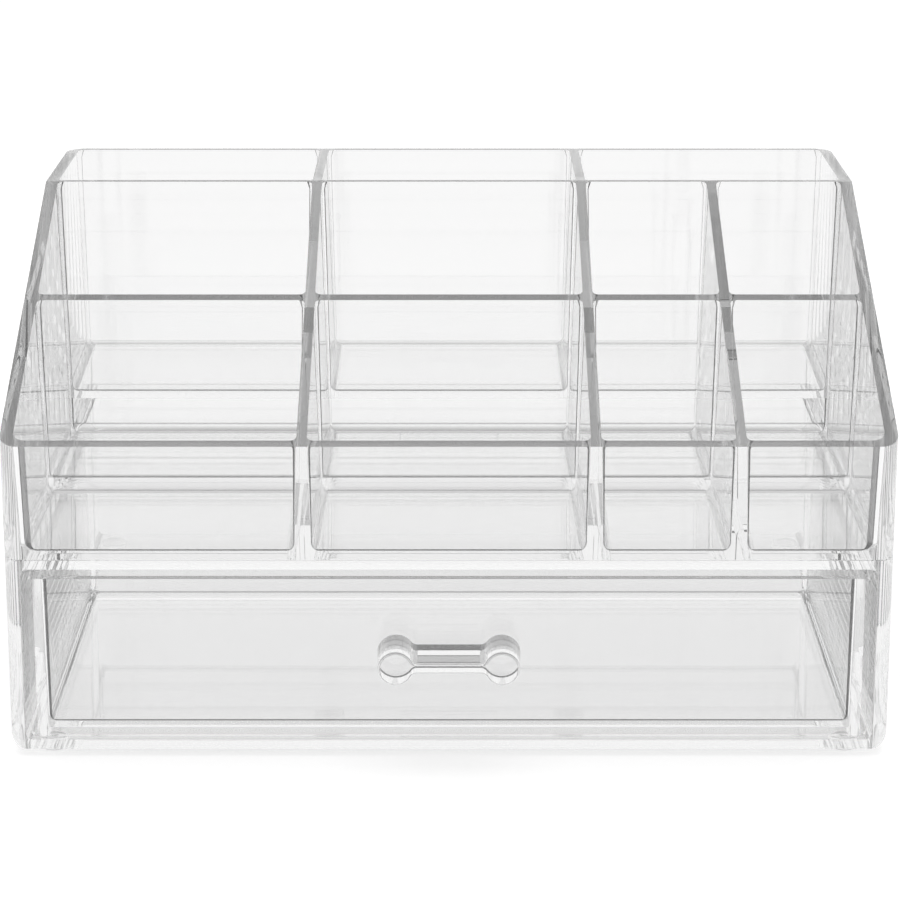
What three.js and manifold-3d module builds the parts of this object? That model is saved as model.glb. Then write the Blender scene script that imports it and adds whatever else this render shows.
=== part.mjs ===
// Clear acrylic vanity organiser: a tray of eleven stepped pockets cemented on a housing with one wide drawer.
// Millimetres, +Z up, +X to the right of someone who faces the drawer, which opens towards -Y.
// The origin lies on the surface that the feet stand on, under the middle of the whole outline, handle included.
import * as THREE from 'three';
import { mergeVertices } from 'three/addons/utils/BufferGeometryUtils.js';
import Module from 'manifold-3d';

const wasm = await Module();
wasm.setup();

// Overall sizes
const width = 318;
const depth = 226;
const housingHeight = 71.5;
const trayFrontHeight = 41.9;
const trayBackHeight = 107.7;
const handleReach = 18;

// Walls of the tray, measured at the rim
const sideWall = 4.7;
const frontWall = 3.2;
const backWall = 3.6;
const dividerWall = 3.7;
const crossWall = 3.3;
const wallDraft = 1.5;

// Pockets: rows from front to back share the inner depth, and the right column is split in two
const rowShares = [0.36, 0.324, 0.316];
const splitShare = 0.493;
const columnCount = 3;
const trayFloor = 2.4;
const middleFloorRise = 2.3;
const backFloorRise = 17;
const pocketCorner = 2.2;
const pocketSideFillet = 3.2;
const pocketEndFillet = 0.8;
const skirtWall = 5.5;

// Rounded edges of the outside
const frontCorner = 6.5;
const backCorner = 8;
const lowerCorner = 6;

// Housing and the drawer's bay in it
const housingFloor = 3.6;
const mouthSideWall = 6;
const bayBackWall = 3.6;
const bayTopWall = 3.3;
const bayDraft = 0.4;
const bayCorner = 2.6;
const stopDrop = 5.4;
const stopLength = 40;
const stopThickness = 2.4;

// Drawer
const drawerLength = 150;
const panelInset = 0.4;
const panelThickness = 3.4;
const panelSideGap = 2;
const panelLift = 1.2;
const panelHeadroom = 3.6;
const panelCorner = 2;
const drawerSideGap = 4;
const runnerClearance = 0.4;
const runnerHeight = 2.8;
const drawerWall = 2.9;
const drawerFloor = 2.7;
const drawerDraft = 0.9;
const drawerCorner = 4;
const cavityCorner = 2.2;
const cavitySideFillet = 2.7;
const cavityEndFillet = 0.8;

// Handle: two round posts and the bar between them, drawn as one outline with a flare where they meet
const postSpacing = 37.8;
const postFrontDiameter = 12.6;
const postRootDiameter = 13.6;
const barFrontHeight = 3.8;
const barRootHeight = 6.2;
const barFlare = 3;
const handleEdge = 0.8;
const handleHeight = 37;

// Feet
const footDiameter = 10.5;
const footHeight = 2.8;
const footEdge = 1;
const footSideInset = 15;
const footEndInset = 10;

// Fits and mesh fineness
const bondGap = 0.3;
const stopGap = 0.4;
const cutOverrun = 2;
const sharpCorner = 0.4;
const cornerSteps = 4;
const filletSteps = 3;
const postSteps = 14;
const roundSegments = 32;

// Places worked out from the sizes
const halfWidth = width / 2;
const frontY = (handleReach - depth) / 2;
const backY = frontY + depth;
const housingZ = footHeight;
const trayZ = housingZ + housingHeight + bondGap;
const innerDepth = depth - frontWall - backWall - 2 * crossWall;
const kneeY = frontY + frontWall + crossWall + innerDepth * (rowShares[0] + rowShares[1]);
const frontRimZ = trayZ + trayFrontHeight;
const backRimZ = trayZ + trayBackHeight;
const bayFloorZ = housingZ + housingFloor;
const bayTopZ = housingZ + housingHeight - bayTopWall;
const mouthHalf = halfWidth - mouthSideWall;
const draftSlope = Math.tan(THREE.MathUtils.degToRad(wallDraft));

// Turns a closed three.js geometry into a solid for joining and cutting.
function solidOf(geometry) {
  const bare = geometry.clone();
  bare.deleteAttribute('normal');
  bare.deleteAttribute('uv');
  const merged = mergeVertices(bare);
  const vertProperties = new Float32Array(merged.attributes.position.array);
  const triVerts = new Uint32Array(merged.index.array);
  return new wasm.Manifold(new wasm.Mesh({ numProp: 3, vertProperties, triVerts }));
}

// Turns a finished solid back into a geometry.
function geometryOf(solid) {
  const mesh = solid.getMesh();
  const geometry = new THREE.BufferGeometry();
  geometry.setAttribute('position', new THREE.BufferAttribute(mesh.vertProperties, mesh.numProp));
  geometry.setIndex(new THREE.BufferAttribute(mesh.triVerts, 1));
  geometry.computeVertexNormals();
  return geometry;
}

// Points of a rectangle with rounded corners, anticlockwise; radii run from its low corner the same way.
function roundedOutline(lowX, lowY, highX, highY, radii) {
  const corners = [[lowX, lowY, 1, 1], [highX, lowY, -1, 1], [highX, highY, -1, -1], [lowX, highY, 1, -1]];
  const points = [];
  corners.forEach(([x, y, towardsX, towardsY], corner) => {
    const radius = radii[corner];
    for (let step = 0; step <= cornerSteps; step += 1) {
      const angle = (Math.PI / 2) * (corner + 2 + step / cornerSteps);
      const centreX = x + towardsX * radius;
      const centreY = y + towardsY * radius;
      points.push(new THREE.Vector2(centreX + radius * Math.cos(angle), centreY + radius * Math.sin(angle)));
    }
  });
  return points;
}

// Triangles that close a ring from its first point on, for an outline that bulges outwards everywhere.
function fanCap(count) {
  return Array.from({ length: count - 2 }, (_, i) => [0, i + 1, i + 2]);
}

// Triangles that close a ring whose second half mirrors its first, in strips from one half to the other.
function mirroredCap(count) {
  const triangles = [];
  for (let i = 0; i < count / 2; i += 1) {
    const across = (count - i) % count;
    if (across !== i) triangles.push([i, i + 1, across]);
    if (i + 1 !== count / 2) triangles.push([i + 1, count - i - 1, across]);
  }
  return triangles;
}

// Joins rings of points, given from one end to the other, into one closed solid with plane ends.
function loft(rings, cap = fanCap) {
  const count = rings[0].length;
  const last = (rings.length - 1) * count;
  const index = [];
  for (let start = 0; start < last; start += count) {
    for (let i = 0; i < count; i += 1) {
      const next = (i + 1) % count;
      index.push(start + i, start + next, start + count + next);
      index.push(start + i, start + count + next, start + count + i);
    }
  }
  cap(count).forEach(([a, b, c]) => {
    index.push(a, c, b);
    index.push(last + a, last + b, last + c);
  });
  const geometry = new THREE.BufferGeometry().setFromPoints(rings.flat());
  geometry.setIndex(index);
  return solidOf(geometry);
}

// A plan outline raised from one height to another.
function uprightBlock(outline, lowZ, highZ) {
  const geometry = new THREE.ExtrudeGeometry(new THREE.Shape(outline), { depth: highZ - lowZ, bevelEnabled: false });
  return solidOf(geometry.translate(0, 0, lowZ));
}

// A side profile of depth and height, drawn across the whole width.
function crossBlock(profile) {
  const geometry = new THREE.ExtrudeGeometry(new THREE.Shape(profile), { depth: width, bevelEnabled: false });
  const turn = new THREE.Matrix4().makeBasis(
    new THREE.Vector3(0, 1, 0),
    new THREE.Vector3(0, 0, 1),
    new THREE.Vector3(1, 0, 0),
  );
  return solidOf(geometry.applyMatrix4(turn).translate(-halfWidth, 0, 0));
}

// A front view outline of width and height, run from the back towards the front.
function lengthwiseBlock(outline, nearY, farY) {
  const geometry = new THREE.ExtrudeGeometry(new THREE.Shape(outline), { depth: farY - nearY, bevelEnabled: false });
  return solidOf(geometry.rotateX(Math.PI / 2).translate(0, farY, 0));
}

// The plan that the tray and the housing share.
function bodyOutline() {
  return roundedOutline(-halfWidth, frontY, halfWidth, backY, [frontCorner, frontCorner, backCorner, backCorner]);
}

// Height of the rim over a place: a slope from the front edge up to the knee, then level.
function rimHeight(y) {
  const rise = (backRimZ - frontRimZ) / (kneeY - frontY);
  return Math.min(frontRimZ + (y - frontY) * rise, backRimZ);
}

// How far a fillet stands in from its wall at a height over the floor.
function filletInset(radius, height) {
  return height < radius ? radius - Math.sqrt(radius ** 2 - (radius - height) ** 2) : 0;
}

// Heights over a floor of the rings that draw fillets of the given radii, from the floor up.
function filletHeights(...radii) {
  const heights = new Set();
  radii.forEach((radius) => {
    for (let step = 0; step <= filletSteps; step += 1) {
      heights.add(radius * (1 - Math.cos((Math.PI / 2) * (step / filletSteps))));
    }
  });
  return [...heights].sort((a, b) => a - b);
}

// The space of one pocket: drafted walls that reach the rim on the given outline, a wide fillet along the floor's
// sides and a small one along its ends.
function pocketSpace({ lowX, highX, lowY, highY, floorZ }) {
  const outlineAt = (inset, height) => {
    const side = inset + filletInset(pocketSideFillet, height);
    const end = inset + filletInset(pocketEndFillet, height);
    return roundedOutline(lowX + side, lowY + end, highX - side, highY - end, Array(4).fill(pocketCorner));
  };
  const ringAt = (heightOver) => outlineAt(0, pocketSideFillet).map((rimPoint, i) => {
    const z = heightOver(rimPoint.y);
    const inset = draftSlope * (rimHeight(rimPoint.y) - z);
    const point = outlineAt(inset, z - floorZ)[i];
    return new THREE.Vector3(point.x, point.y, z);
  });
  const rings = filletHeights(pocketSideFillet, pocketEndFillet).map((height) => ringAt(() => floorZ + height));
  rings.push(ringAt((y) => rimHeight(y) + cutOverrun));
  return loft(rings);
}

// Rows and columns of the pockets, as the outlines that they have at the rim.
function pocketOutlines() {
  const columnWidth = (width - 2 * sideWall - (columnCount - 1) * dividerWall) / columnCount;
  const columns = [];
  for (let column = 0; column < columnCount; column += 1) {
    const lowX = -halfWidth + sideWall + column * (columnWidth + dividerWall);
    columns.push([lowX, lowX + columnWidth]);
  }
  const [splitLow, splitHigh] = columns[columnCount - 1];
  const splitX = splitLow + columnWidth * splitShare;
  const splitColumns = [
    ...columns.slice(0, -1),
    [splitLow, splitX - dividerWall / 2],
    [splitX + dividerWall / 2, splitHigh],
  ];
  const floors = [0, middleFloorRise, backFloorRise];
  const pockets = [];
  let lowY = frontY + frontWall;
  rowShares.forEach((share, row) => {
    const highY = lowY + share * innerDepth;
    const rowColumns = row === rowShares.length - 1 ? columns : splitColumns;
    for (const [lowX, highX] of rowColumns) {
      pockets.push({ lowX, highX, lowY, highY, floorZ: trayZ + trayFloor + floors[row] });
    }
    lowY = highY + crossWall;
  });
  return pockets;
}

// The space under the raised back row, open below, which keeps the moulding's walls even.
function underRowSpace() {
  const side = halfWidth - skirtWall;
  const outline = roundedOutline(-side, kneeY + crossWall, side, backY - skirtWall, Array(4).fill(pocketCorner));
  return uprightBlock(outline, trayZ - cutOverrun, trayZ + backFloorRise);
}

function organiserTray() {
  const profile = [
    new THREE.Vector2(frontY, trayZ),
    new THREE.Vector2(backY, trayZ),
    new THREE.Vector2(backY, backRimZ),
    new THREE.Vector2(kneeY, backRimZ),
    new THREE.Vector2(frontY, frontRimZ),
  ];
  let tray = crossBlock(profile).intersect(uprightBlock(bodyOutline(), trayZ, backRimZ + cutOverrun));
  for (const pocket of pocketOutlines()) {
    tray = tray.subtract(pocketSpace(pocket));
  }
  return geometryOf(tray.subtract(underRowSpace()));
}

// The drawer's bay: a rounded mouth that narrows a little towards the back, as the mould's core does.
function baySpace() {
  const farY = backY - bayBackWall;
  const narrowing = Math.tan(THREE.MathUtils.degToRad(bayDraft));
  const ringAt = (y) => {
    const half = mouthHalf - narrowing * (y - frontY);
    const outline = roundedOutline(-half, bayFloorZ, half, bayTopZ, Array(4).fill(bayCorner));
    return outline.map((point) => new THREE.Vector3(point.x, y, point.y));
  };
  return loft([ringAt(farY), ringAt(frontY - cutOverrun)]);
}

// The rib under the bay's roof that the drawer's back meets when it is shut.
function drawerStop() {
  const nearY = frontY + panelInset + drawerLength + stopGap;
  const half = stopLength / 2;
  const outline = roundedOutline(-half, nearY, half, nearY + stopThickness, Array(4).fill(sharpCorner));
  return uprightBlock(outline, bayTopZ - stopDrop, bayTopZ + bayTopWall / 2);
}

function drawerHousing() {
  const topZ = housingZ + housingHeight;
  const frontView = roundedOutline(
    -halfWidth,
    housingZ,
    halfWidth,
    topZ + lowerCorner,
    [lowerCorner, lowerCorner, sharpCorner, sharpCorner],
  );
  const outside = uprightBlock(bodyOutline(), housingZ, topZ).intersect(lengthwiseBlock(frontView, frontY, backY));
  return geometryOf(outside.subtract(baySpace()).add(drawerStop()));
}

// The drawer is one moulding: its front panel, its walls and floor, and the low runner round its underside.
function drawerBox() {
  const nearY = frontY + panelInset;
  const farY = nearY + drawerLength;
  const topZ = bayTopZ - panelHeadroom;
  const runnerZ = bayFloorZ + runnerClearance;
  const panelHalf = mouthHalf - panelSideGap;
  const half = mouthHalf - drawerSideGap;
  const panelView = roundedOutline(-panelHalf, bayFloorZ + panelLift, panelHalf, topZ, Array(4).fill(panelCorner));
  const panel = lengthwiseBlock(panelView, nearY, nearY + panelThickness);
  const boxPlan = roundedOutline(
    -half,
    nearY + panelThickness / 2,
    half,
    farY,
    [sharpCorner, sharpCorner, drawerCorner, drawerCorner],
  );
  const box = uprightBlock(boxPlan, runnerZ, topZ);
  const underPlan = roundedOutline(
    -half + drawerWall,
    nearY + panelThickness + drawerWall,
    half - drawerWall,
    farY - drawerWall,
    Array(4).fill(drawerCorner - drawerWall / 2),
  );
  const under = uprightBlock(underPlan, runnerZ - cutOverrun, runnerZ + runnerHeight);
  return geometryOf(panel.add(box).subtract(drawerSpace(nearY, farY, half, topZ)).subtract(under));
}

// The inside of the drawer, drafted, with a wide fillet along the floor's sides and a small one along its ends.
function drawerSpace(nearY, farY, half, topZ) {
  const floorZ = bayFloorZ + runnerClearance + runnerHeight + drawerFloor;
  const slope = Math.tan(THREE.MathUtils.degToRad(drawerDraft));
  const ringAt = (z) => {
    const inset = slope * (topZ - z);
    const side = inset + filletInset(cavitySideFillet, z - floorZ);
    const end = inset + filletInset(cavityEndFillet, z - floorZ);
    const outline = roundedOutline(
      -half + drawerWall + side,
      nearY + panelThickness + end,
      half - drawerWall - side,
      farY - drawerWall - end,
      Array(4).fill(cavityCorner),
    );
    return outline.map((point) => new THREE.Vector3(point.x, point.y, z));
  };
  const rings = filletHeights(cavitySideFillet, cavityEndFillet).map((height) => ringAt(floorZ + height));
  rings.push(ringAt(topZ + cutOverrun));
  return loft(rings);
}

// The handle's outline in a front view, anticlockwise from its right end: post, flare, bar, flare and post.
function handleOutline(postRadius, barHalf, flare) {
  const half = postSpacing / 2;
  const reach = postRadius + flare;
  const flareRise = barHalf + flare;
  const flareRun = Math.sqrt(reach ** 2 - flareRise ** 2);
  const turn = Math.PI - Math.atan2(flareRise, flareRun);
  const quarter = [];
  for (let step = 0; step <= postSteps; step += 1) {
    const angle = turn * (step / postSteps);
    quarter.push(new THREE.Vector2(half + postRadius * Math.cos(angle), postRadius * Math.sin(angle)));
  }
  for (let step = 1; step <= filletSteps; step += 1) {
    const angle = turn - Math.PI - (turn - Math.PI / 2) * (step / filletSteps);
    const x = half - flareRun + flare * Math.cos(angle);
    quarter.push(new THREE.Vector2(x, flareRise + flare * Math.sin(angle)));
  }
  const top = [...quarter, ...quarter.map(({ x, y }) => new THREE.Vector2(-x, y)).reverse()];
  const bottom = top.slice(1, -1).map(({ x, y }) => new THREE.Vector2(x, -y)).reverse();
  return [...top, ...bottom];
}

// The handle is one moulding that narrows from the panel to its softened front edge.
function drawerHandle() {
  const rootY = frontY + panelInset - bondGap;
  const frontFaceY = frontY - handleReach;
  const centreZ = housingZ + handleHeight;
  const ringAt = (y, postRadius, barHalf, flare) => handleOutline(postRadius, barHalf, flare)
    .map((point) => new THREE.Vector3(point.x, y, centreZ + point.y));
  const rings = [ringAt(rootY, postRootDiameter / 2, barRootHeight / 2, barFlare)];
  for (let step = 0; step <= filletSteps; step += 1) {
    const angle = (Math.PI / 2) * (step / filletSteps);
    const inset = handleEdge * (1 - Math.cos(angle));
    const y = frontFaceY + handleEdge * (1 - Math.sin(angle));
    rings.push(ringAt(y, postFrontDiameter / 2 - inset, barFrontHeight / 2 - inset, barFlare + inset));
  }
  return geometryOf(loft(rings, mirroredCap));
}

// A low round pad with a softened lower edge, its flat face on the ground.
function foot() {
  const radius = footDiameter / 2;
  const topZ = footHeight - bondGap;
  const profile = [new THREE.Vector2(0, 0)];
  for (let step = 0; step <= filletSteps; step += 1) {
    const angle = (Math.PI / 2) * (step / filletSteps);
    profile.push(new THREE.Vector2(radius - footEdge * (1 - Math.sin(angle)), footEdge * (1 - Math.cos(angle))));
  }
  profile.push(new THREE.Vector2(radius, topZ));
  profile.push(new THREE.Vector2(0, topZ));
  const geometry = new THREE.LatheGeometry(profile, roundSegments);
  return geometryOf(solidOf(geometry.rotateX(Math.PI / 2)));
}

function clearPlastic(name, colour) {
  return new THREE.MeshStandardMaterial({
    name,
    color: colour,
    roughness: 0.04,
    metalness: 0,
    transparent: true,
    opacity: 0.4,
  });
}

const organiser = new THREE.Group();

function place(name, geometry, colour) {
  const mesh = new THREE.Mesh(geometry, clearPlastic(`${name}_plastic`, colour));
  mesh.name = name;
  organiser.add(mesh);
  return mesh;
}

place('organiser_tray', organiserTray(), '#eef1f1');
place('drawer_housing', drawerHousing(), '#e9eded');
place('drawer_box', drawerBox(), '#eceff0');
place('drawer_handle', drawerHandle(), '#e4e9ea');

const footX = halfWidth - footSideInset;
const feet = [
  ['foot_front_left', -footX, frontY + footEndInset],
  ['foot_front_right', footX, frontY + footEndInset],
  ['foot_rear_left', -footX, backY - footEndInset],
  ['foot_rear_right', footX, backY - footEndInset],
];
for (const [name, x, y] of feet) {
  place(name, foot(), '#dfe3e4').position.set(x, y, 0);
}

export default organiser;
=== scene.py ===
import math

import bpy
import bmesh
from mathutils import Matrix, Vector


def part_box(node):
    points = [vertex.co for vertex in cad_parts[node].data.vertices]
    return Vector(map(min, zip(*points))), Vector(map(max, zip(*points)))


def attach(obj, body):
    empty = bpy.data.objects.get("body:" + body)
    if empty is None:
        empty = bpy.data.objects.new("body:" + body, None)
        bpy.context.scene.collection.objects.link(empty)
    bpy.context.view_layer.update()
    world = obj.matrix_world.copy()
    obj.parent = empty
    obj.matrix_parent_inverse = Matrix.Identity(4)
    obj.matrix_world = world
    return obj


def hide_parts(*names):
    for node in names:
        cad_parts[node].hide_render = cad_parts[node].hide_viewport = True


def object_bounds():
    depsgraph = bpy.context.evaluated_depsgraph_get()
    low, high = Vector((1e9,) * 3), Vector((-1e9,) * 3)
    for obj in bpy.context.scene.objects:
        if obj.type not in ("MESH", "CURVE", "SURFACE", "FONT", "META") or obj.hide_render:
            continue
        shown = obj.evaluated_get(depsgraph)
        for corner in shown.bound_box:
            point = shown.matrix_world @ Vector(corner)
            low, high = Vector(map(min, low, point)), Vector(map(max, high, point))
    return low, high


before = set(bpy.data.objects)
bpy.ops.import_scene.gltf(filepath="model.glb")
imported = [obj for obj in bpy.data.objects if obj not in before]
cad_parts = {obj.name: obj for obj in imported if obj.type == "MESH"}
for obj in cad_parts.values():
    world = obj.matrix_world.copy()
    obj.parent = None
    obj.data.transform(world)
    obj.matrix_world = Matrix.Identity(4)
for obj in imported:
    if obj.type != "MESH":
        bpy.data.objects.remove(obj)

cad_low, cad_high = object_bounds()
scene = bpy.context.scene

# The camera stands in front of the drawer, a little over a metre away, and looks down on the stepped rims.
# Its place and tilt come from the receding and upright edges of the outline.
camera_distance = 1.125
camera_height = 0.4048
camera_side = 0.0004
camera_tilt = math.radians(15.83)
sensor_width = 36
focal_pixels = 3014
frame_pixels = 900
camera_data = bpy.data.cameras.new("camera")
camera_data.sensor_width = sensor_width
camera_data.lens = focal_pixels / frame_pixels * sensor_width
camera = bpy.data.objects.new("camera", camera_data)
camera.location = (camera_side, -camera_distance, camera_height)
camera.rotation_euler = (math.pi / 2 - camera_tilt, 0, 0)
scene.collection.objects.link(camera)
scene.camera = camera

# The stage is a plain pale floor that runs far back and meets a white surround, and it takes the shadow.
# From in front the camera finds both white. Through the plastic and in reflections the floor's glow carries
# painted shade, darker from steep angles, which stands in for the shade round the organiser, and the surround
# is a little darker high in front. The softbox gives light but isn't seen.
floor_reach = 12.0
floor_colour = (0.6, 0.6, 0.6, 1)
floor_glow = 0.76
# Painted floor shade: the glow seen through plastic goes from low_tone at a low slope to steep_tone from above.
low_slope = math.radians(28)
steep_slope = math.radians(45)
low_tone = 0.79
steep_tone = 0.35
even_blend = 0.5
surround_light = (1.0, 1.0, 1.0, 1)
surround_dark = (0.6, 0.6, 0.6, 1)
dark_side = (0, -0.7, 0.7)
dark_starts = -0.1
dark_full = 0.6
white_strength = 1.0
surround_strength = 0.62
softbox_place = (0, 0.1, 1.6)
softbox_size = (1.6, 1.2)
softbox_watts = 9
clear_bounces = 96
scene.view_settings.view_transform = "Standard"
scene.cycles.max_bounces = clear_bounces
scene.cycles.transmission_bounces = clear_bounces
scene.cycles.glossy_bounces = clear_bounces


def seen_directly(nodes, links):
    """One where a ray comes from the camera, a gloss or clear plastic, zero for the light on things."""
    path = nodes.new("ShaderNodeLightPath")
    near = nodes.new("ShaderNodeMath")
    near.operation = "MAXIMUM"
    links.new(path.outputs["Is Camera Ray"], near.inputs[0])
    links.new(path.outputs["Is Glossy Ray"], near.inputs[1])
    seen = nodes.new("ShaderNodeMath")
    seen.operation = "MAXIMUM"
    links.new(near.outputs[0], seen.inputs[0])
    links.new(path.outputs["Is Transmission Ray"], seen.inputs[1])
    return seen.outputs[0]


def painted_floor_shade(nodes, links):
    """Painted shade on the floor's glow for rays through plastic and off gloss: more glow at a low angle than
    from above.
    """
    facing = nodes.new("ShaderNodeLayerWeight")
    facing.inputs["Blend"].default_value = even_blend
    share = nodes.new("ShaderNodeMapRange")
    share.interpolation_type = "SMOOTHSTEP"
    share.inputs["From Min"].default_value = 1 - math.sin(steep_slope)
    share.inputs["From Max"].default_value = 1 - math.sin(low_slope)
    share.inputs["To Min"].default_value = steep_tone
    share.inputs["To Max"].default_value = low_tone
    links.new(facing.outputs["Facing"], share.inputs["Value"])
    return share.outputs[0]


def make_floor():
    mesh = bpy.data.meshes.new("floor")
    corners = [(-floor_reach, -floor_reach, 0), (floor_reach, -floor_reach, 0),
               (floor_reach, floor_reach, 0), (-floor_reach, floor_reach, 0)]
    mesh.from_pydata(corners, [], [(0, 1, 2, 3)])
    floor = bpy.data.objects.new("floor", mesh)
    scene.collection.objects.link(floor)
    material = bpy.data.materials.new("pale_floor")
    material.use_nodes = True
    nodes, links = material.node_tree.nodes, material.node_tree.links
    nodes.clear()
    out = nodes.new("ShaderNodeOutputMaterial")
    matt = nodes.new("ShaderNodeBsdfDiffuse")
    matt.inputs["Color"].default_value = floor_colour
    # The floor's glow in reflections and through plastic is dimmed by the painted floor shade.
    shaded = nodes.new("ShaderNodeMath")
    shaded.operation = "MULTIPLY"
    links.new(painted_floor_shade(nodes, links), shaded.inputs[0])
    links.new(seen_directly(nodes, links), shaded.inputs[1])
    path = nodes.new("ShaderNodeLightPath")
    lit = nodes.new("ShaderNodeMath")
    lit.operation = "MAXIMUM"
    links.new(path.outputs["Is Camera Ray"], lit.inputs[0])
    links.new(shaded.outputs[0], lit.inputs[1])
    strength = nodes.new("ShaderNodeMath")
    strength.operation = "MULTIPLY"
    strength.inputs[1].default_value = floor_glow
    links.new(lit.outputs[0], strength.inputs[0])
    glow = nodes.new("ShaderNodeEmission")
    links.new(strength.outputs[0], glow.inputs["Strength"])
    add = nodes.new("ShaderNodeAddShader")
    links.new(matt.outputs[0], add.inputs[0])
    links.new(glow.outputs[0], add.inputs[1])
    links.new(add.outputs[0], out.inputs["Surface"])
    mesh.materials.append(material)


def make_surround():
    world = bpy.data.worlds.new("studio")
    world.use_nodes = True
    scene.world = world
    nodes, links = world.node_tree.nodes, world.node_tree.links
    nodes.clear()
    out = nodes.new("ShaderNodeOutputWorld")
    place = nodes.new("ShaderNodeTexCoord")
    towards = nodes.new("ShaderNodeVectorMath")
    towards.operation = "DOT_PRODUCT"
    towards.inputs[1].default_value = dark_side
    links.new(place.outputs["Generated"], towards.inputs[0])
    share = nodes.new("ShaderNodeMapRange")
    share.interpolation_type = "SMOOTHSTEP"
    share.inputs["From Min"].default_value = dark_starts
    share.inputs["From Max"].default_value = dark_full
    links.new(towards.outputs["Value"], share.inputs["Value"])
    ramp = nodes.new("ShaderNodeValToRGB")
    ramp.color_ramp.elements[0].color = surround_light
    ramp.color_ramp.elements[1].color = surround_dark
    links.new(share.outputs[0], ramp.inputs[0])
    background = nodes.new("ShaderNodeBackground")
    links.new(ramp.outputs[0], background.inputs["Color"])
    strength = nodes.new("ShaderNodeMapRange")
    strength.inputs["To Min"].default_value = surround_strength
    strength.inputs["To Max"].default_value = white_strength
    links.new(seen_directly(nodes, links), strength.inputs["Value"])
    links.new(strength.outputs[0], background.inputs["Strength"])
    links.new(background.outputs[0], out.inputs["Surface"])


def make_softbox():
    data = bpy.data.lights.new("overhead_softbox", "AREA")
    data.shape = "RECTANGLE"
    data.size, data.size_y = softbox_size
    data.energy = softbox_watts
    light = bpy.data.objects.new("overhead_softbox", data)
    light.location = softbox_place
    middle = Vector((0, 0, cad_high.z / 2))
    light.rotation_euler = (middle - Vector(softbox_place)).to_track_quat("-Z", "Y").to_euler()
    light.visible_glossy = False
    light.visible_transmission = False
    scene.collection.objects.link(light)


make_floor()
make_surround()
make_softbox()

# The tray is one injection moulding of clear polystyrene: eleven drafted pockets under a rim that is level
# behind the knee and runs straight down to the low front wall. It is cut from a block and its rims are rounded.
side_wall = 0.0047
front_wall = 0.0032
back_wall = 0.0036
divider_wall = 0.0037
cross_wall = 0.0033
wall_draft = math.tan(math.radians(1.5))
column_count = 3
row_shares = (0.36, 0.324, 0.316)
split_share = 0.493
front_rim_share = 0.389
tray_floor = 0.0024
floor_rises = (0, 0.0023, 0.017)
pocket_corner = 0.0029
corner_under_rim = 0.0011
corner_at_floor = 0.0005
outer_corner = 0.0045
rim_flare = 0.003
pocket_side_fillet = 0.0032
pocket_front_fillet = 0.0008
pocket_back_fillets = (0.0055, 0.0034, 0.0012)
under_corner = 0.0022
skirt_wall = 0.0055
front_corner = 0.0065
back_corner = 0.008
rim_round = 0.0007
cut_overrun = 0.002
corner_steps = 12
fillet_steps = 16

tray_low, tray_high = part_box("organiser_tray")
half_width = tray_high.x
front_y, back_y = tray_low.y, tray_high.y
inner_depth = back_y - front_y - front_wall - back_wall - 2 * cross_wall
knee_y = front_y + front_wall + cross_wall + inner_depth * (row_shares[0] + row_shares[1])
front_rim_z = tray_low.z + (tray_high.z - tray_low.z) * front_rim_share


def rounded_outline(low_x, low_y, high_x, high_y, radii):
    """Points of a rectangle with rounded corners, anticlockwise from its low corner."""
    corners = [(low_x, low_y, 1, 1), (high_x, low_y, -1, 1), (high_x, high_y, -1, -1), (low_x, high_y, 1, -1)]
    points = []
    for corner, (x, y, towards_x, towards_y) in enumerate(corners):
        radius = radii[corner]
        for step in range(corner_steps + 1):
            angle = math.pi / 2 * (corner + 2 + step / corner_steps)
            points.append((x + towards_x * radius + radius * math.cos(angle),
                           y + towards_y * radius + radius * math.sin(angle)))
    return points


def loft(rings):
    """Vertices and faces of a closed solid through rings of points, with plane ends."""
    count = len(rings[0])
    faces = []
    for start in range(0, (len(rings) - 1) * count, count):
        for i in range(count):
            following = (i + 1) % count
            faces.append((start + i, start + following, start + count + following, start + count + i))
    last = (len(rings) - 1) * count
    faces.append(tuple(range(count - 1, -1, -1)))
    faces.append(tuple(range(last, last + count)))
    return [point for ring in rings for point in ring], faces


def upright(outline, low_z, high_z):
    """A level outline run from one height to another."""
    return loft([[(x, y, low_z) for x, y in outline], [(x, y, high_z) for x, y in outline]])


def solid(name, *shapes):
    """One object of one or more closed shapes, each given as its vertices and faces."""
    vertices, faces = [], []
    for shape_vertices, shape_faces in shapes:
        start = len(vertices)
        vertices += shape_vertices
        faces += [tuple(start + corner for corner in face) for face in shape_faces]
    mesh = bpy.data.meshes.new(name)
    mesh.from_pydata(vertices, [], faces)
    piece = bpy.data.objects.new(name, mesh)
    scene.collection.objects.link(piece)
    work = bmesh.new()
    work.from_mesh(mesh)
    bmesh.ops.recalc_face_normals(work, faces=work.faces)
    work.to_mesh(mesh)
    work.free()
    return piece


def bake(piece):
    """Turns a piece with its modifiers into plain mesh."""
    graph = bpy.context.evaluated_depsgraph_get()
    done = bpy.data.meshes.new_from_object(piece.evaluated_get(graph))
    piece.modifiers.clear()
    old = piece.data
    piece.data = done
    done.name = piece.name
    bpy.data.meshes.remove(old)


def join(piece, operation, tool):
    """Cuts, joins or intersects a piece with a tool, and removes the tool."""
    step = piece.modifiers.new(operation, "BOOLEAN")
    step.operation = operation
    step.solver = "EXACT"
    step.object = tool
    bake(piece)
    bpy.data.objects.remove(tool)


def rim_height(y):
    slope = (tray_high.z - front_rim_z) / (knee_y - front_y)
    return min(front_rim_z + (y - front_y) * slope, tray_high.z)


def fillet_inset(radius, height):
    """How far a fillet stands in from its wall at a height over the floor."""
    return radius - math.sqrt(radius ** 2 - (radius - height) ** 2) if height < radius else 0


def fillet_heights(*radii):
    """Heights over a floor of the rings that draw fillets of the given radii, from the floor up."""
    return sorted({radius * (1 - math.cos(math.pi / 2 * step / fillet_steps))
                   for radius in radii for step in range(fillet_steps + 1)})


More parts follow.
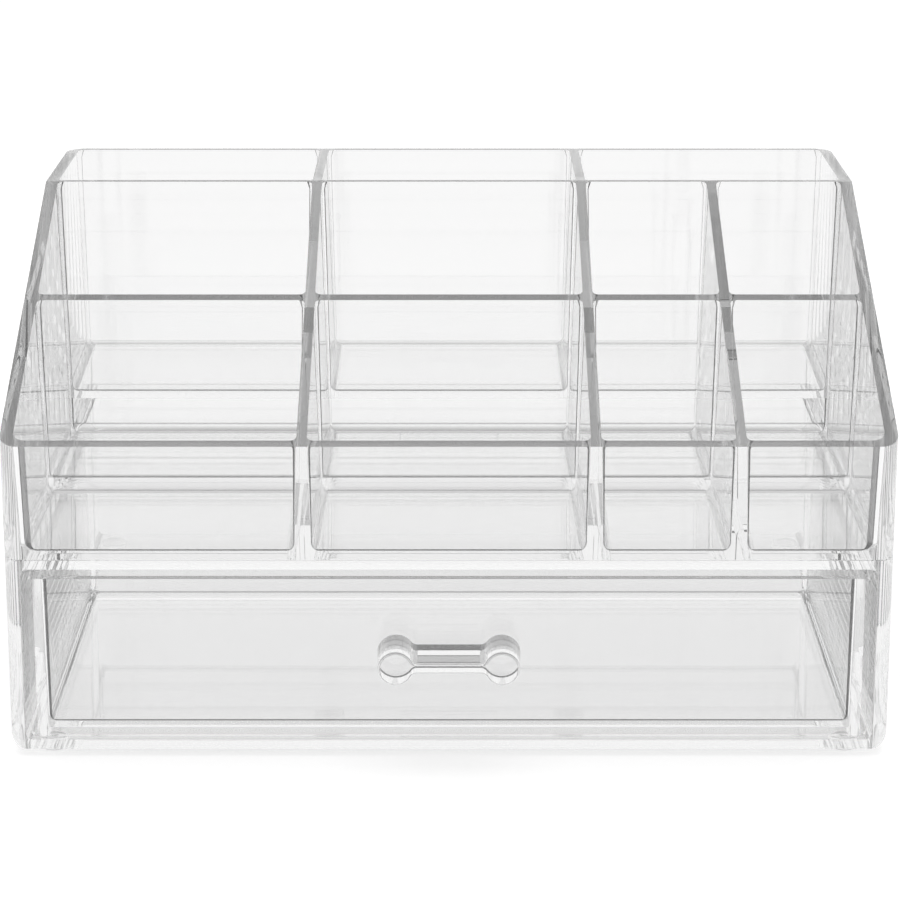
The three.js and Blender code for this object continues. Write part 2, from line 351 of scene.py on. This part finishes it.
def pocket_space(low_x, high_x, low_y, high_y, floor_z, back_fillet, wide_corner):
    """The space of one pocket: drafted walls, corners that flare at the rim, and fillets round the floor."""
    def outline_at(inset, height, radius):
        side = inset + fillet_inset(pocket_side_fillet, height)
        front = low_y + inset + fillet_inset(pocket_front_fillet, height)
        back = high_y - inset - fillet_inset(back_fillet, height)
        radii = [outer_corner if corner == wide_corner else radius for corner in range(4)]
        return rounded_outline(low_x + side, front, high_x - side, back, radii)

    def ring_at(height_over, radius):
        ring = []
        for i, (_, rim_y) in enumerate(outline_at(0, max(pocket_back_fillets), radius)):
            height = height_over(rim_y)
            x, y = outline_at(wall_draft * (rim_height(rim_y) - floor_z - height), height, radius)[i]
            ring.append((x, y, floor_z + height))
        return ring

    rings = [ring_at(lambda y: height, corner_at_floor)
             for height in fillet_heights(pocket_side_fillet, pocket_front_fillet, back_fillet)]
    rings.append(ring_at(lambda y: rim_height(y) - floor_z - rim_flare, corner_under_rim))
    rings.append(ring_at(lambda y: rim_height(y) - floor_z + cut_overrun, pocket_corner))
    return loft(rings)


def pocket_spaces():
    """The spaces of the eleven pockets, from the front row to the back row, which alone has no split column."""
    column_width = (2 * half_width - 2 * side_wall - (column_count - 1) * divider_wall) / column_count
    columns = []
    for column in range(column_count):
        low_x = -half_width + side_wall + column * (column_width + divider_wall)
        columns.append((low_x, low_x + column_width))
    split_low, split_high = columns[-1]
    split_x = split_low + column_width * split_share
    split_right = [(split_low, split_x - divider_wall / 2), (split_x + divider_wall / 2, split_high)]
    split_columns = columns[:-1] + split_right
    front_left, front_right = 0, 1
    wide_corners = {0: front_left, len(split_columns) - 1: front_right}
    spaces = []
    low_y = front_y + front_wall
    for row, in_row in enumerate([split_columns, split_columns, columns]):
        high_y = low_y + row_shares[row] * inner_depth
        floor_z = tray_low.z + tray_floor + floor_rises[row]
        back_fillet = pocket_back_fillets[row]
        for column, (low_x, high_x) in enumerate(in_row):
            wide_corner = wide_corners.get(column) if row == 0 else None
            spaces.append(pocket_space(low_x, high_x, low_y, high_y, floor_z, back_fillet, wide_corner))
        low_y = high_y + cross_wall
    return spaces


# What soften and the painted edge shade go by: which edges are rounded, and how dark the painted shade makes
# roundings, rims and fillets, standing in for the dark lines that refraction gives the clear plastic's edges.
sharp_angle = math.radians(35)
round_steps = 3
flat_limit = math.radians(0.05)
seam_reach = 0.0002
flat_face_weight = 100
sloped_least = 0.85
sloped_most = 0.97
strip_most = 0.0006
wide_strip = 0.0004
front_turn = math.radians(60)
rear_turn = math.radians(12)
sloped_shade = 0.6
level_shade = 0.45
rear_shade = 0.65
wide_shade = 0.85


def strip_shade(normal, width):
    """How much painted shade a fillet's strip gets: full at a front wall, graded round a wide corner, paler at
    a rear.
    """
    if width > strip_most:
        return 0
    if normal.y < 0:
        return rear_shade if -normal.y > math.cos(rear_turn) else 0
    if width > wide_strip:
        return wide_shade + (1 - wide_shade) * abs(normal.x)
    return 1 if normal.y > math.cos(front_turn) else 0


def paint_edge_shade(piece, rim_top, strips_end):
    """Stores how much painted shade darkens each face: the roundings, the rims, and the strips where fillets
    start.
    """
    work = bmesh.new()
    work.from_mesh(piece.data)
    edge = work.faces.layers.float.new("edge")
    for face in work.faces:
        strip_width = face.calc_area() / max(line.calc_length() for line in face.edges)
        centre = face.calc_center_median()
        slopes = sloped_least < face.normal.z < sloped_most and face.normal.y < 0
        if face.material_index:
            face[edge] = 1 if face.normal.y > 0 else rear_shade
        elif strip_width > strip_most and slopes:
            face[edge] = sloped_shade
        elif rim_top is not None and face.normal.z > sloped_most and centre.z > rim_top - seam_reach:
            face[edge] = level_shade
        elif strips_end is None or centre.y < strips_end:
            face[edge] = strip_shade(face.normal, strip_width)
        face.material_index = 0
    work.to_mesh(piece.data)
    work.free()
    piece.data.materials.clear()


def soften(piece, width, seam_z=None, rim_top=None, strips_end=None):
    """Rounds a piece's hard edges, but for those at a seam, marks the roundings with painted shade and keeps
    flat faces flat.
    """
    work = bmesh.new()
    work.from_mesh(piece.data)
    bmesh.ops.dissolve_limit(work, angle_limit=flat_limit, verts=work.verts, edges=work.edges)
    weight = work.edges.layers.float.new("bevel_weight_edge")
    for line in work.edges:
        at_seam = seam_z is not None and all(abs(end.co.z - seam_z) < seam_reach for end in line.verts)
        if not at_seam and line.calc_face_angle(0) > sharp_angle:
            line[weight] = 1
    work.to_mesh(piece.data)
    work.free()
    for _ in ("flat_slot", "rounded_slot"):
        piece.data.materials.append(None)
    edge = piece.modifiers.new("rounded_edges", "BEVEL")
    edge.width = width
    edge.segments = round_steps
    edge.limit_method = "WEIGHT"
    edge.use_clamp_overlap = True
    edge.material = 1
    bake(piece)
    paint_edge_shade(piece, rim_top, strips_end)
    piece.data.shade_smooth()
    piece.data.set_sharp_from_angle(angle=sharp_angle)
    even = piece.modifiers.new("flat_faces_stay_flat", "WEIGHTED_NORMAL")
    even.keep_sharp = True
    even.weight = flat_face_weight
    bake(piece)


def body_outline():
    return rounded_outline(-half_width, front_y, half_width, back_y,
                           [front_corner, front_corner, back_corner, back_corner])


def make_tray():
    tray = solid("organiser_tray_clear", upright(body_outline(), tray_low.z, tray_high.z))
    low_end_z = front_rim_z - cut_overrun * (tray_high.z - front_rim_z) / (knee_y - front_y)
    over = [(front_y - cut_overrun, low_end_z), (knee_y, tray_high.z),
            (knee_y, tray_high.z + cut_overrun), (front_y - cut_overrun, tray_high.z + cut_overrun)]
    reach = half_width + cut_overrun
    wedge = loft([[(x, y, z) for y, z in over] for x in (-reach, reach)])
    join(tray, "DIFFERENCE", solid("over_the_slope", wedge))
    join(tray, "DIFFERENCE", solid("pockets", *pocket_spaces()))
    side = half_width - skirt_wall
    under = rounded_outline(-side, knee_y + cross_wall, side, back_y - skirt_wall, [under_corner] * 4)
    under_top = tray_low.z + floor_rises[2]
    join(tray, "DIFFERENCE", solid("under_back_row", upright(under, tray_low.z - cut_overrun, under_top)))
    soften(tray, rim_round, tray_low.z, tray_high.z)
    return tray


# The clear plastic of every piece: refracting, a little darker with depth, darker with painted edge shade where
# faces are marked, and with a skin that isn't quite even, as mouldings sink a little while they cool.
tray_clear = (0.975, 0.975, 0.975, 1)
# Painted edge shade: marked faces are mixed towards this grey in the base colour.
painted_edge_shade = (0.03, 0.03, 0.03, 1)
moulding_ior = 1.57
polish = 0.0
wave_length = 0.03
wave_depth = 0.00001
wave_detail = 1
wave_roughness = 0.3
depth_colour = (0, 0, 0, 1)
depth_density = 0.4


def moulded_skin_and_shade():
    """Shader node group of a clear moulding's skin: painted shade where the faces are marked, with soft sink
    waves.
    """
    group = bpy.data.node_groups.new("moulded_skin_and_shade", "ShaderNodeTree")
    for name, kind in (("Clear Colour", "NodeSocketColor"), ("Painted Shade Colour", "NodeSocketColor"),
                       ("Wave Length", "NodeSocketFloat"), ("Wave Depth", "NodeSocketFloat")):
        group.interface.new_socket(name=name, in_out="INPUT", socket_type=kind)
    for name, kind in (("Colour", "NodeSocketColor"), ("Normal", "NodeSocketVector")):
        group.interface.new_socket(name=name, in_out="OUTPUT", socket_type=kind)
    nodes, links = group.nodes, group.links
    given = nodes.new("NodeGroupInput")
    result = nodes.new("NodeGroupOutput")
    marked = nodes.new("ShaderNodeAttribute")
    marked.attribute_name = "edge"
    # Painted shade: the base colour goes towards the shade grey as far as the face's edge mark says.
    colour = nodes.new("ShaderNodeMix")
    colour.data_type = "RGBA"
    links.new(marked.outputs["Fac"], colour.inputs["Factor"])
    links.new(given.outputs["Clear Colour"], colour.inputs["A"])
    links.new(given.outputs["Painted Shade Colour"], colour.inputs["B"])
    links.new(colour.outputs["Result"], result.inputs["Colour"])
    place = nodes.new("ShaderNodeTexCoord")
    scale = nodes.new("ShaderNodeMath")
    scale.operation = "DIVIDE"
    scale.inputs[0].default_value = 1
    links.new(given.outputs["Wave Length"], scale.inputs[1])
    wave = nodes.new("ShaderNodeTexNoise")
    wave.inputs["Detail"].default_value = wave_detail
    wave.inputs["Roughness"].default_value = wave_roughness
    links.new(place.outputs["Object"], wave.inputs["Vector"])
    links.new(scale.outputs[0], wave.inputs["Scale"])
    bump = nodes.new("ShaderNodeBump")
    links.new(wave.outputs["Fac"], bump.inputs["Height"])
    links.new(given.outputs["Wave Depth"], bump.inputs["Distance"])
    links.new(bump.outputs["Normal"], result.inputs["Normal"])
    return group


skin = moulded_skin_and_shade()


def clear_plastic(name, colour, ior):
    """A clear plastic of one colour and index, with the moulded skin and its painted edge shade."""
    material = bpy.data.materials.new(name)
    material.use_nodes = True
    nodes, links = material.node_tree.nodes, material.node_tree.links
    shader = nodes["Principled BSDF"]
    shader.inputs["IOR"].default_value = ior
    shader.inputs["Transmission Weight"].default_value = 1
    shader.inputs["Roughness"].default_value = polish
    surface = nodes.new("ShaderNodeGroup")
    surface.node_tree = skin
    surface.inputs["Clear Colour"].default_value = colour
    surface.inputs["Painted Shade Colour"].default_value = painted_edge_shade
    surface.inputs["Wave Length"].default_value = wave_length
    surface.inputs["Wave Depth"].default_value = wave_depth
    links.new(surface.outputs["Colour"], shader.inputs["Base Color"])
    links.new(surface.outputs["Normal"], shader.inputs["Normal"])
    depth = nodes.new("ShaderNodeVolumeAbsorption")
    depth.inputs["Color"].default_value = depth_colour
    depth.inputs["Density"].default_value = depth_density
    links.new(depth.outputs[0], nodes["Material Output"].inputs["Volume"])
    return material


def dress(piece, material, body, slot, *nodes):
    """Gives a piece its material, the body it rides and the solids it stands for. The slot is not used."""
    piece.data.materials.clear()
    piece.data.materials.append(material)
    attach(piece, body)
    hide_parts(*nodes)


tray_material = clear_plastic("tray_clear_plastic", tray_clear, moulding_ior)
dress(make_tray(), tray_material, "casing", "tray_plastic", "organiser_tray")

# The housing under the tray is a second moulding, a sleeve that is open at the front, with rounded lower
# corners and a bay that narrows towards the back. A rib under its roof stops the drawer.
housing_floor = 0.0036
mouth_side_wall = 0.006
bay_back_wall = 0.0036
bay_top_wall = 0.0033
bay_narrowing = math.tan(math.radians(0.4))
bay_corner = 0.0026
lower_corner = 0.006
sharp_corner = 0.0004
stop_drop = 0.0054
stop_length = 0.04
stop_thickness = 0.0024
stop_gap = 0.0004
body_clear = (0.998, 0.998, 0.998, 1)
housing_low, housing_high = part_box("drawer_housing")
bay_floor_z = housing_low.z + housing_floor
bay_top_z = housing_high.z - bay_top_wall
mouth_half = half_width - mouth_side_wall


def lengthwise(outline, near_y, far_y):
    """A front view outline of width and height, run from one depth to another."""
    return loft([[(x, far_y, z) for x, z in outline], [(x, near_y, z) for x, z in outline]])


def make_housing():
    housing = solid("drawer_housing_clear", upright(body_outline(), housing_low.z, housing_high.z))
    view = rounded_outline(-half_width, housing_low.z, half_width, housing_high.z + lower_corner,
                           [lower_corner, lower_corner, sharp_corner, sharp_corner])
    view_run = lengthwise(view, front_y - cut_overrun, back_y + cut_overrun)
    join(housing, "INTERSECT", solid("front_view", view_run))
    rings = []
    for y in (back_y - bay_back_wall, front_y - cut_overrun):
        half = mouth_half - bay_narrowing * (y - front_y)
        outline = rounded_outline(-half, bay_floor_z, half, bay_top_z, [bay_corner] * 4)
        rings.append([(x, y, z) for x, z in outline])
    join(housing, "DIFFERENCE", solid("bay", loft(rings)))
    near_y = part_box("drawer_box")[1].y + stop_gap
    far_y = near_y + stop_thickness
    rib = rounded_outline(-stop_length / 2, near_y, stop_length / 2, far_y, [sharp_corner] * 4)
    join(housing, "UNION", solid("stop", upright(rib, bay_top_z - stop_drop, bay_top_z + bay_top_wall / 2)))
    soften(housing, rim_round, housing_high.z)
    return housing


housing_material = clear_plastic("housing_clear_plastic", body_clear, moulding_ior)
dress(make_housing(), housing_material, "casing", "housing_plastic", "drawer_housing")

# The drawer is one moulding, a shallow box with drafted walls whose front wall is a thicker panel that covers
# the mouth of the bay. It has no runners and slides on the low rib round its underside.
panel_thickness = 0.0034
panel_side_gap = 0.002
panel_lift = 0.0012
panel_corner = 0.002
drawer_side_gap = 0.004
runner_height = 0.0028
drawer_wall = 0.0029
drawer_floor = 0.0027
drawer_draft = math.tan(math.radians(0.9))
drawer_corner = 0.004
cavity_corner = 0.0022
cavity_floor_corner = 0.0016
cavity_side_fillet = 0.0027
cavity_end_fillet = 0.0008
drawer_round = 0.0005
drawer_low, drawer_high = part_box("drawer_box")
panel_half = mouth_half - panel_side_gap
drawer_half = mouth_half - drawer_side_gap
panel_back_y = drawer_low.y + panel_thickness


def drawer_space():
    """The drawer's drafted inside, with wide fillets along the floor's sides and small ones at its ends."""
    floor_z = drawer_low.z + runner_height + drawer_floor
    over_rim = drawer_high.z + cut_overrun - floor_z
    rings = []
    for height in fillet_heights(cavity_side_fillet, cavity_end_fillet) + [over_rim]:
        inset = drawer_draft * (drawer_high.z - floor_z - height)
        side = drawer_half - drawer_wall - inset - fillet_inset(cavity_side_fillet, height)
        end = inset + fillet_inset(cavity_end_fillet, height)
        share = min(height / (drawer_high.z - floor_z), 1)
        radius = cavity_floor_corner + (cavity_corner - cavity_floor_corner) * share
        far_y = drawer_high.y - drawer_wall - end
        outline = rounded_outline(-side, panel_back_y + end, side, far_y, [radius] * 4)
        rings.append([(x, y, floor_z + height) for x, y in outline])
    return loft(rings)


def make_drawer():
    panel_low_z = bay_floor_z + panel_lift
    front_view = rounded_outline(-panel_half, panel_low_z, panel_half, drawer_high.z, [panel_corner] * 4)
    drawer = solid("drawer_box_clear", lengthwise(front_view, drawer_low.y, panel_back_y))
    plan = rounded_outline(-drawer_half, drawer_low.y + panel_thickness / 2, drawer_half, drawer_high.y,
                           [sharp_corner, sharp_corner, drawer_corner, drawer_corner])
    join(drawer, "UNION", solid("walls", upright(plan, drawer_low.z, drawer_high.z)))
    join(drawer, "DIFFERENCE", solid("inside", drawer_space()))
    side = drawer_half - drawer_wall
    under = rounded_outline(-side, panel_back_y + drawer_wall, side, drawer_high.y - drawer_wall,
                            [drawer_corner - drawer_wall / 2] * 4)
    under_top = drawer_low.z + runner_height
    join(drawer, "DIFFERENCE", solid("underside", upright(under, drawer_low.z - cut_overrun, under_top)))
    soften(drawer, drawer_round, rim_top=drawer_high.z, strips_end=panel_back_y + cavity_side_fillet)
    return drawer


drawer_material = clear_plastic("drawer_clear_plastic", body_clear, moulding_ior)
dress(make_drawer(), drawer_material, "drawer", "drawer_plastic", "drawer_box")

# The handle is one small clear moulding of two round posts and the bar between them, bonded to the panel.
# Its outline flares where bar meets post, it narrows towards the front, and its front edge is round. Its root
# is painted darker round the flank, a painted shade where light runs into the panel, up to a ring where the
# flank is very slightly hollow.
post_front_radius = 0.0063
post_root_radius = 0.0068
post_half_spacing = 0.0189
bar_front_half = 0.0019
bar_root_half = 0.0031
bar_flare = 0.003
handle_edge = 0.0008
bar_round = 0.0003
root_length = 0.0055
# How far the painted shade at the root darkens the flank.
root_shade = 0.85
root_hollow = 1.15
flank_turn = math.radians(60)
post_steps = 48
handle_low, handle_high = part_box("drawer_handle")
handle_z = (handle_low.z + handle_high.z) / 2


def handle_outline(post_radius, bar_half, flare):
    """The handle's outline in a front view, anticlockwise from its right end: post, flare, bar and so on."""
    flare_rise = bar_half + flare
    flare_run = math.sqrt((post_radius + flare) ** 2 - flare_rise ** 2)
    turn = math.pi - math.atan2(flare_rise, flare_run)
    quarter = []
    for step in range(post_steps + 1):
        angle = turn * step / post_steps
        quarter.append((post_half_spacing + post_radius * math.cos(angle), post_radius * math.sin(angle)))
    for step in range(1, fillet_steps + 1):
        angle = turn - math.pi - (turn - math.pi / 2) * step / fillet_steps
        quarter.append((post_half_spacing - flare_run + flare * math.cos(angle),
                        flare_rise + flare * math.sin(angle)))
    top = quarter + [(-x, z) for x, z in reversed(quarter)]
    return top + [(x, -z) for x, z in reversed(top[1:-1])]


def make_handle():
    share = root_hollow * root_length / (handle_high.y - handle_low.y - handle_edge)
    root_end_y = handle_high.y - root_length
    levels = [(handle_high.y, post_root_radius, bar_root_half, bar_flare),
              (root_end_y, post_root_radius + (post_front_radius - post_root_radius) * share,
               bar_root_half + (bar_front_half - bar_root_half) * share, bar_flare)]
    for step in range(fillet_steps + 1):
        angle = math.pi / 2 * step / fillet_steps
        inset = handle_edge * (1 - math.cos(angle))
        levels.append((handle_low.y + handle_edge * (1 - math.sin(angle)), post_front_radius - inset,
                       bar_front_half - inset, bar_flare + inset))
    rings = [[(x, y, handle_z + z) for x, z in handle_outline(*sizes)] for y, *sizes in levels]
    handle = solid("drawer_handle_clear", loft(rings))
    soften(handle, bar_round)
    # The root's flank faces get painted shade through the edge mark.
    marks = handle.data.attributes["edge"].data
    for face in handle.data.polygons:
        if face.center.y > root_end_y and abs(face.normal.y) < math.cos(flank_turn):
            marks[face.index].value = root_shade
    return handle


handle_material = clear_plastic("handle_clear_plastic", body_clear, moulding_ior)
dress(make_handle(), handle_material, "drawer", "handle_plastic", "drawer_handle")

# Four round pads of soft clear plastic are stuck under the housing's corners. One pad is turned here and
# Geometry Nodes set it down at the four corners of a grid.
foot_clear = (0.93, 0.93, 0.93, 1)
foot_ior = 1.5
foot_edge = 0.001
round_segments = 96
foot_names = ["foot_front_left", "foot_front_right", "foot_rear_left", "foot_rear_right"]


def make_pad(low, high):
    """One pad about the origin, its flat face down."""
    radius = (high.x - low.x) / 2
    height = high.z - low.z
    profile = []
    for step in range(fillet_steps + 1):
        angle = math.pi / 2 * step / fillet_steps
        profile.append((radius - foot_edge * (1 - math.sin(angle)), foot_edge * (1 - math.cos(angle))))
    profile.append((radius, height))
    turns = [2 * math.pi * step / round_segments for step in range(round_segments)]
    rings = [[(r * math.cos(turn), r * math.sin(turn), z) for turn in turns] for r, z in profile]
    pad = solid("foot_pads", loft(rings))
    pad.data.shade_smooth()
    pad.data.set_sharp_from_angle(angle=sharp_angle)
    return pad


def corner_copies(piece, width, depth, centre, material):
    """Sets a piece down at the four corners of a level grid and turns the result into plain mesh."""
    tree = bpy.data.node_groups.new("corner_copies", "GeometryNodeTree")
    sockets = {}
    for name, kind in (("Geometry", "NodeSocketGeometry"), ("Width", "NodeSocketFloat"),
                       ("Depth", "NodeSocketFloat"), ("Centre", "NodeSocketVector"),
                       ("Material", "NodeSocketMaterial")):
        sockets[name] = tree.interface.new_socket(name=name, in_out="INPUT", socket_type=kind).identifier
    tree.interface.new_socket(name="Geometry", in_out="OUTPUT", socket_type="NodeSocketGeometry")
    nodes, links = tree.nodes, tree.links
    given = nodes.new("NodeGroupInput")
    grid = nodes.new("GeometryNodeMeshGrid")
    grid.inputs["Vertices X"].default_value = 2
    grid.inputs["Vertices Y"].default_value = 2
    links.new(given.outputs["Width"], grid.inputs["Size X"])
    links.new(given.outputs["Depth"], grid.inputs["Size Y"])
    moved = nodes.new("GeometryNodeTransform")
    links.new(grid.outputs["Mesh"], moved.inputs["Geometry"])
    links.new(given.outputs["Centre"], moved.inputs["Translation"])
    copies = nodes.new("GeometryNodeInstanceOnPoints")
    links.new(moved.outputs["Geometry"], copies.inputs["Points"])
    links.new(given.outputs["Geometry"], copies.inputs["Instance"])
    real = nodes.new("GeometryNodeRealizeInstances")
    links.new(copies.outputs["Instances"], real.inputs["Geometry"])
    dressed = nodes.new("GeometryNodeSetMaterial")
    links.new(real.outputs["Geometry"], dressed.inputs["Geometry"])
    links.new(given.outputs["Material"], dressed.inputs["Material"])
    result = nodes.new("NodeGroupOutput")
    links.new(dressed.outputs["Geometry"], result.inputs["Geometry"])
    step = piece.modifiers.new("corner_copies", "NODES")
    step.node_group = tree
    step[sockets["Width"]] = width
    step[sockets["Depth"]] = depth
    step[sockets["Centre"]] = centre
    step[sockets["Material"]] = material
    bake(piece)


foot_material = clear_plastic("foot_clear_plastic", foot_clear, foot_ior)
first_low, first_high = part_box(foot_names[0])
last_low, last_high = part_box(foot_names[-1])
pads_middle = (first_low + last_high) / 2
pads = make_pad(first_low, first_high)
corner_copies(pads, last_low.x - first_low.x, last_low.y - first_low.y, (pads_middle.x, pads_middle.y, 0),
              foot_material)
dress(pads, foot_material, "casing", "foot_plastic", *foot_names)
